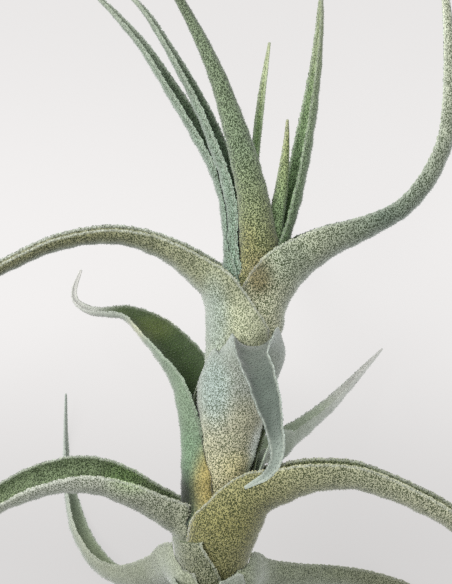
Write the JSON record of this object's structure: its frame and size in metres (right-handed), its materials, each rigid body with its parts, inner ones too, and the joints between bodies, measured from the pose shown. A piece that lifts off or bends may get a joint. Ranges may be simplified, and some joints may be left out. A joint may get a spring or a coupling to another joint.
{
  "type": "air plant",
  "caption": "Stemmed air plant lying on its back: channelled, recurving silver-green leaves clasp a slender stem in a loose spiral, with wiry roots at its foot.",
  "frame": {"origin": "on the surface the plant lies on, under the middle of its length and width", "axes": "+Y up the stem towards the crown, +Z away from the surface, towards the side that is seen, +X to the right of the stem seen from that side"},
  "size_m": [0.179, 0.2388, 0.095],
  "materials": {
    "leaf": "matt, silver-green, covered in fine pale scales",
    "dry_leaf": "matt, dry and papery",
    "stem": "matt and fibrous"
  },
  "bodies": {
    "root": {"stem": "stem", "bud_leaf_small": "leaf", "bud_leaf": "leaf", "crown_leaf_back": "leaf", "crown_leaf_left_inner": "leaf", "crown_leaf_right": "leaf", "crown_leaf_left_outer": "leaf", "crown_leaf_front": "leaf", "crown_leaf_floor": "leaf", "upper_right_leaf": "leaf", "upper_left_leaf": "leaf", "front_leaf": "leaf", "middle_back_leaf": "leaf", "middle_right_leaf": "leaf", "middle_left_leaf": "leaf", "lower_right_leaf": "leaf", "lower_left_leaf": "leaf", "floor_left_leaf": "leaf", "floor_right_leaf": "leaf", "low_front_leaf": "leaf", "low_left_leaf": "leaf", "low_back_leaf": "leaf", "dry_leaf_front": "dry_leaf", "dry_leaf_right": "dry_leaf"}
  },
  "joints": []
}
